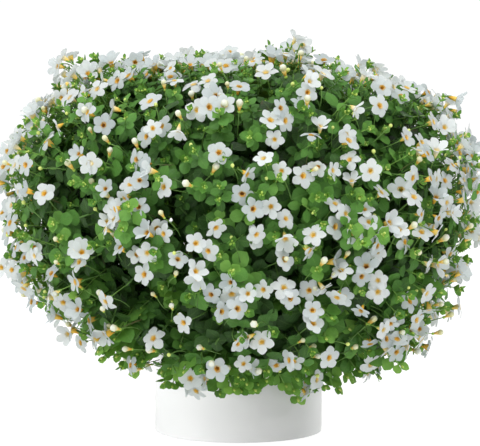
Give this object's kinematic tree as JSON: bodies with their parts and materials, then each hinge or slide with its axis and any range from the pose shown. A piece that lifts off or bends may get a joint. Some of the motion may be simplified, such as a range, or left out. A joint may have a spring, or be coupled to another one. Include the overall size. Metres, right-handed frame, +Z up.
{
  "type": "potted bacopa",
  "caption": "Round plain pot with a wide rounded mound of leafy stems, small toothed leaves and white five-petalled blooms.",
  "frame": {"origin": "centre of the pot's flat underside, on the surface it stands on", "axes": "+Z up along the pot's axis, -Y towards the front of the plant as pictured, +X to its right"},
  "size_m": [0.4279, 0.4376, 0.3672],
  "materials": {
    "pot": "satin",
    "soil": "matte",
    "foliage": "satin",
    "bloom": "matte"
  },
  "bodies": {
    "root": {"pot": "pot", "soil": "soil", "leafy_stem_01": "foliage", "leafy_stem_02": "foliage", "leafy_stem_03": "foliage", "leafy_stem_04": "foliage", "leafy_stem_05": "foliage", "leafy_stem_06": "foliage", "leafy_stem_07": "foliage", "leafy_stem_08": "foliage", "leafy_stem_09": "foliage", "leafy_stem_10": "foliage", "leafy_stem_11": "foliage", "leafy_stem_12": "foliage", "leafy_stem_13": "foliage", "leafy_stem_14": "foliage", "leafy_stem_15": "foliage", "leafy_stem_16": "foliage", "leafy_stem_17": "foliage", "leafy_stem_18": "foliage", "leafy_stem_19": "foliage", "leafy_stem_20": "foliage", "leafy_stem_21": "foliage", "leafy_stem_22": "foliage"}
  },
  "joints": []
}
